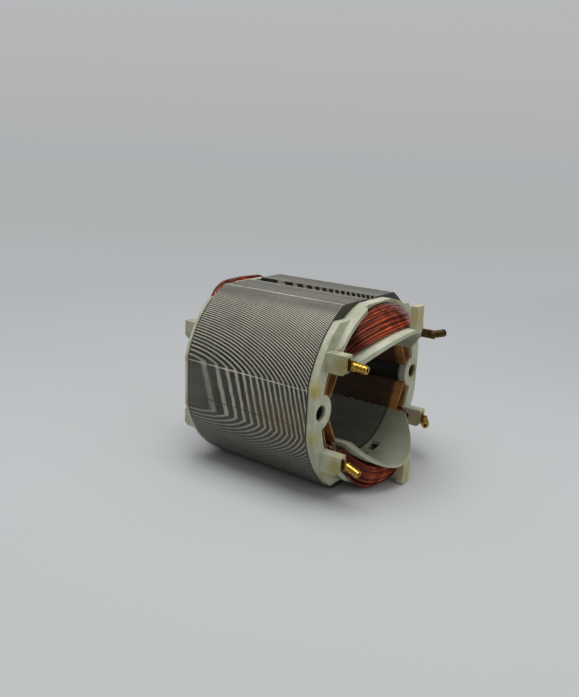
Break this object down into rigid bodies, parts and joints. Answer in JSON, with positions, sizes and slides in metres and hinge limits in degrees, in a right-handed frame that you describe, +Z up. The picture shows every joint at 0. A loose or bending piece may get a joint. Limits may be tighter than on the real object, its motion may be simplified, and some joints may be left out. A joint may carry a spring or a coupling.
{
  "type": "universal motor field stator",
  "caption": "Two-pole wound field stator of a small universal motor, with a laminated steel stack, nylon end frames and brass lead terminals.",
  "frame": {"origin": "on the motor axis, half way along the lamination stack", "axes": "+X along the motor axis towards the terminal end, +Z up through the upper pole, the part rests on the flat under the lower pole"},
  "size_m": [0.08, 0.0684, 0.0624],
  "materials": {
    "lamination_steel": "stamped electrical steel with worn varnish",
    "nylon": "moulded, natural ivory, yellowed",
    "enamelled_copper": "copper wire under red-brown enamel",
    "slot_paper": "varnished insulating paper",
    "brass": "stamped and crimped, tarnished",
    "lead_enamel": "twisted enamelled wire, varnished dark"
  },
  "bodies": {
    "root": {"lamination_stack": "lamination_steel", "front_frame": "nylon", "rear_frame": "nylon", "upper_coil": "enamelled_copper", "lower_coil": "enamelled_copper", "near_upper_liner": "slot_paper", "near_lower_liner": "slot_paper", "far_upper_liner": "slot_paper", "far_lower_liner": "slot_paper", "near_upper_strip": "slot_paper", "near_lower_strip": "slot_paper", "far_upper_strip": "slot_paper", "far_lower_strip": "slot_paper", "near_upper_terminal": "brass", "near_lower_terminal": "brass", "far_upper_terminal": "brass", "far_lower_terminal": "brass", "near_upper_lead": "lead_enamel", "near_lower_lead": "lead_enamel", "far_upper_lead": "lead_enamel", "far_lower_lead": "lead_enamel"}
  },
  "joints": []
}
